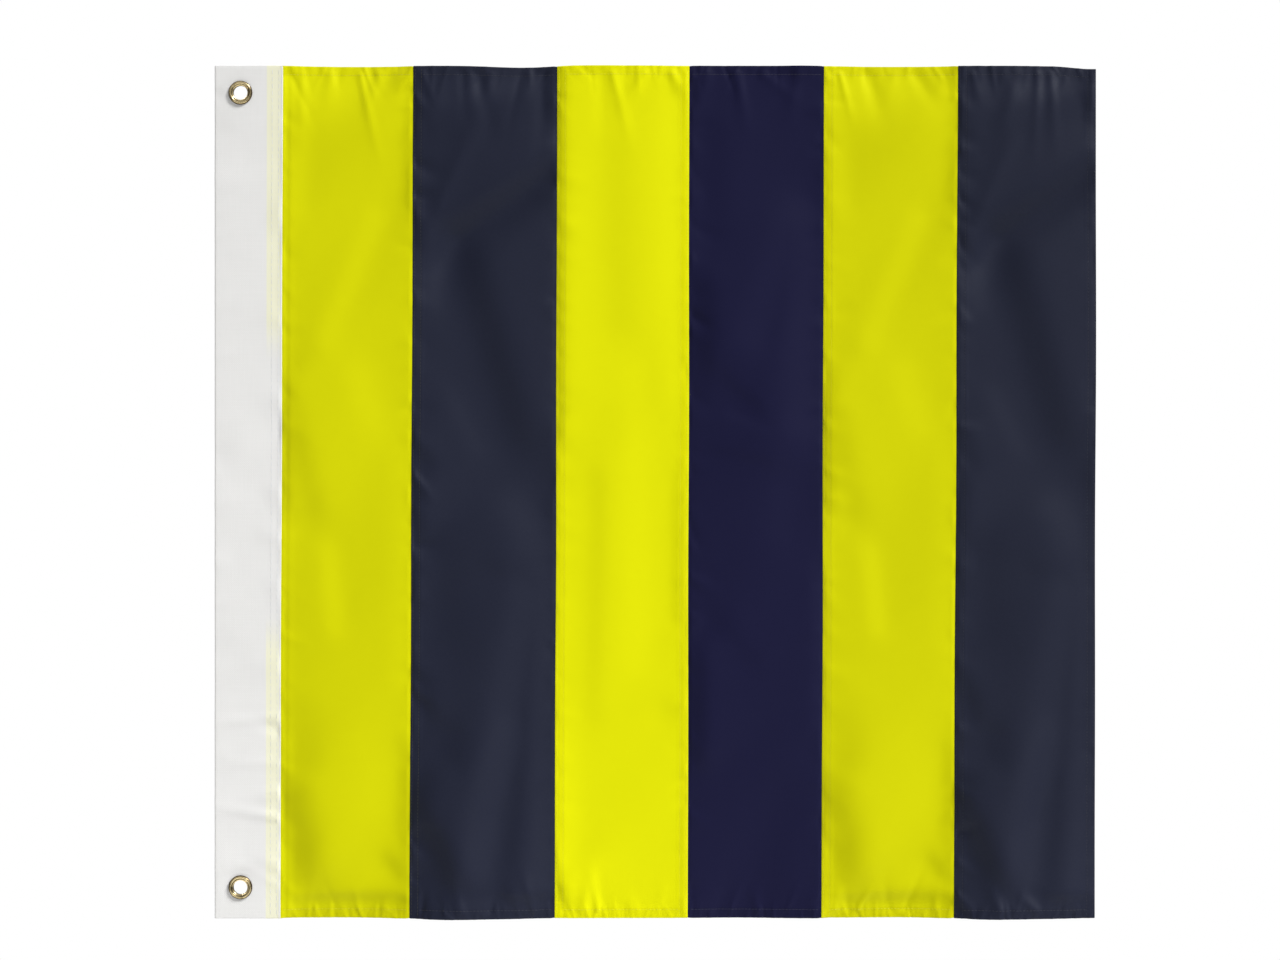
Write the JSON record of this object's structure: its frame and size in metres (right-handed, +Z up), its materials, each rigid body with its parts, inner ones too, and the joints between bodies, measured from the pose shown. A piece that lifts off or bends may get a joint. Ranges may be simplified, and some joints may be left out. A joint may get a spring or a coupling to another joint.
{
  "type": "striped signal flag",
  "caption": "Square sewn signal flag of upright yellow and dark blue stripes on a folded white canvas heading with brass grommets.",
  "frame": {"origin": "centre of the upper grommet's hole, at the middle of the cloth's thickness", "axes": "+Z up along the hoist, +X from the hoist towards the fly, -Y out of the front of the flag"},
  "size_m": [0.6305, 0.0054, 0.61],
  "materials": {
    "yellow_bunting": "woven nylon bunting, slight sheen",
    "navy_bunting": "woven nylon bunting, slight sheen",
    "indigo_bunting": "woven nylon bunting, slight sheen",
    "white_canvas": "matt plain-woven canvas",
    "brass": "polished, slightly aged",
    "pale_thread": "twisted polyester thread",
    "yellow_thread": "twisted polyester thread",
    "navy_thread": "twisted polyester thread"
  },
  "bodies": {
    "heading": {"canvas_heading": "white_canvas", "stripe_1_tucked_edge": "yellow_bunting", "upper_eyelet": "brass", "upper_washer": "brass", "lower_eyelet": "brass", "lower_washer": "brass", "heading_thread_1": "pale_thread", "heading_thread_2": "pale_thread"},
    "stripe_1": {"yellow_stripe_1": "yellow_bunting", "hem_thread_top_1": "pale_thread", "hem_thread_bottom_1": "pale_thread"},
    "stripe_2": {"navy_stripe_2": "navy_bunting", "hem_thread_top_2": "pale_thread", "hem_thread_bottom_2": "pale_thread", "seam_thread_2_hoist_1": "yellow_thread", "seam_thread_2_hoist_2": "yellow_thread"},
    "stripe_3": {"yellow_stripe_3": "yellow_bunting", "hem_thread_top_3": "pale_thread", "hem_thread_bottom_3": "pale_thread", "seam_thread_3_hoist_1": "yellow_thread", "seam_thread_3_hoist_2": "yellow_thread", "seam_thread_3_fly_1": "yellow_thread", "seam_thread_3_fly_2": "yellow_thread"},
    "stripe_4": {"indigo_stripe_4": "indigo_bunting", "hem_thread_top_4": "pale_thread", "hem_thread_bottom_4": "pale_thread"},
    "stripe_5": {"yellow_stripe_5": "yellow_bunting", "hem_thread_top_5": "pale_thread", "hem_thread_bottom_5": "pale_thread", "seam_thread_5_hoist_1": "yellow_thread", "seam_thread_5_hoist_2": "yellow_thread"},
    "stripe_6": {"navy_stripe_6": "navy_bunting", "hem_thread_top_6": "pale_thread", "hem_thread_bottom_6": "pale_thread", "seam_thread_6_hoist_1": "navy_thread", "seam_thread_6_hoist_2": "navy_thread", "seam_thread_6_fly_1": "navy_thread", "seam_thread_6_fly_2": "navy_thread"}
  },
  "joints": [
    {"name": "heading_bend", "type": "hinge", "parent": "heading", "child": "stripe_1", "pos_m": [0.0302, 0, -0.2857], "axis": [0, 0, 1], "range_deg": [-45, 45]},
    {"name": "seam_1_2_bend", "type": "hinge", "parent": "stripe_1", "child": "stripe_2", "pos_m": [0.1237, 0, -0.2857], "axis": [0, 0, 1], "range_deg": [-45, 45]},
    {"name": "seam_2_3_bend", "type": "hinge", "parent": "stripe_2", "child": "stripe_3", "pos_m": [0.2267, 0, -0.2857], "axis": [0, 0, 1], "range_deg": [-45, 45]},
    {"name": "seam_3_4_bend", "type": "hinge", "parent": "stripe_3", "child": "stripe_4", "pos_m": [0.3212, 0, -0.2857], "axis": [0, 0, 1], "range_deg": [-45, 45]},
    {"name": "seam_4_5_bend", "type": "hinge", "parent": "stripe_4", "child": "stripe_5", "pos_m": [0.4177, 0, -0.2857], "axis": [0, 0, 1], "range_deg": [-45, 45]},
    {"name": "seam_5_6_bend", "type": "hinge", "parent": "stripe_5", "child": "stripe_6", "pos_m": [0.5137, 0, -0.2857], "axis": [0, 0, 1], "range_deg": [-45, 45]}
  ]
}
